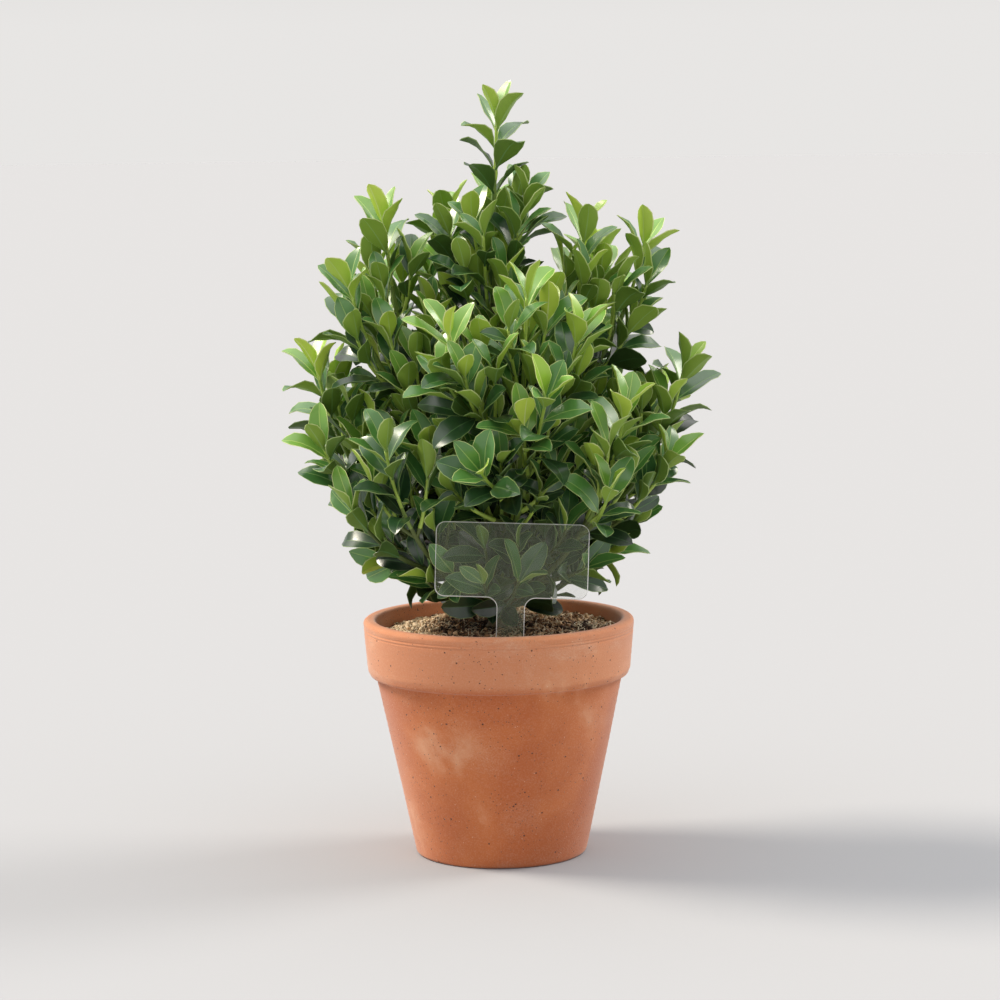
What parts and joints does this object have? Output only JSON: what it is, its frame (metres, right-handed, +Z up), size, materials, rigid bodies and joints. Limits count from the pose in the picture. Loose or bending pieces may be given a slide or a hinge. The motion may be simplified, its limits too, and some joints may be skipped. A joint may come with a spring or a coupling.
{
  "type": "potted japanese euonymus",
  "caption": "Small upright evergreen shrub of spire-like shoots with paired glossy leaves, in a tapered clay pot with a deep collar, with compost and a blank clear plant label.",
  "frame": {"origin": "middle of the pot's flat underside, where it stands", "axes": "+Z up along the pot's axis and the main stem, -Y towards the front with the label, +X to the right seen from the front"},
  "size_m": [0.2094, 0.2001, 0.3676],
  "materials": {
    "terracotta": "matte",
    "compost": "matte",
    "clear_plastic": "gloss",
    "bark": "matte",
    "foliage": "satin"
  },
  "bodies": {
    "root": {"pot": "terracotta", "compost": "compost", "label": "clear_plastic", "main_stem": "bark", "bough_upper_left": "bark", "bough_upper_back": "bark", "bough_upper_right": "bark", "bough_upper_front": "bark", "bough_left": "bark", "bough_back_left": "bark", "bough_back": "bark", "bough_back_right": "bark", "bough_right": "bark", "bough_front_right": "bark", "bough_front": "bark", "bough_front_left": "bark", "foliage_leader": "foliage", "foliage_upper_left": "foliage", "foliage_upper_back": "foliage", "foliage_upper_right": "foliage", "foliage_upper_front": "foliage", "foliage_left": "foliage", "foliage_back_left": "foliage", "foliage_back": "foliage", "foliage_back_right": "foliage", "foliage_right": "foliage", "foliage_front_right": "foliage", "foliage_front": "foliage", "foliage_front_left": "foliage"}
  },
  "joints": []
}
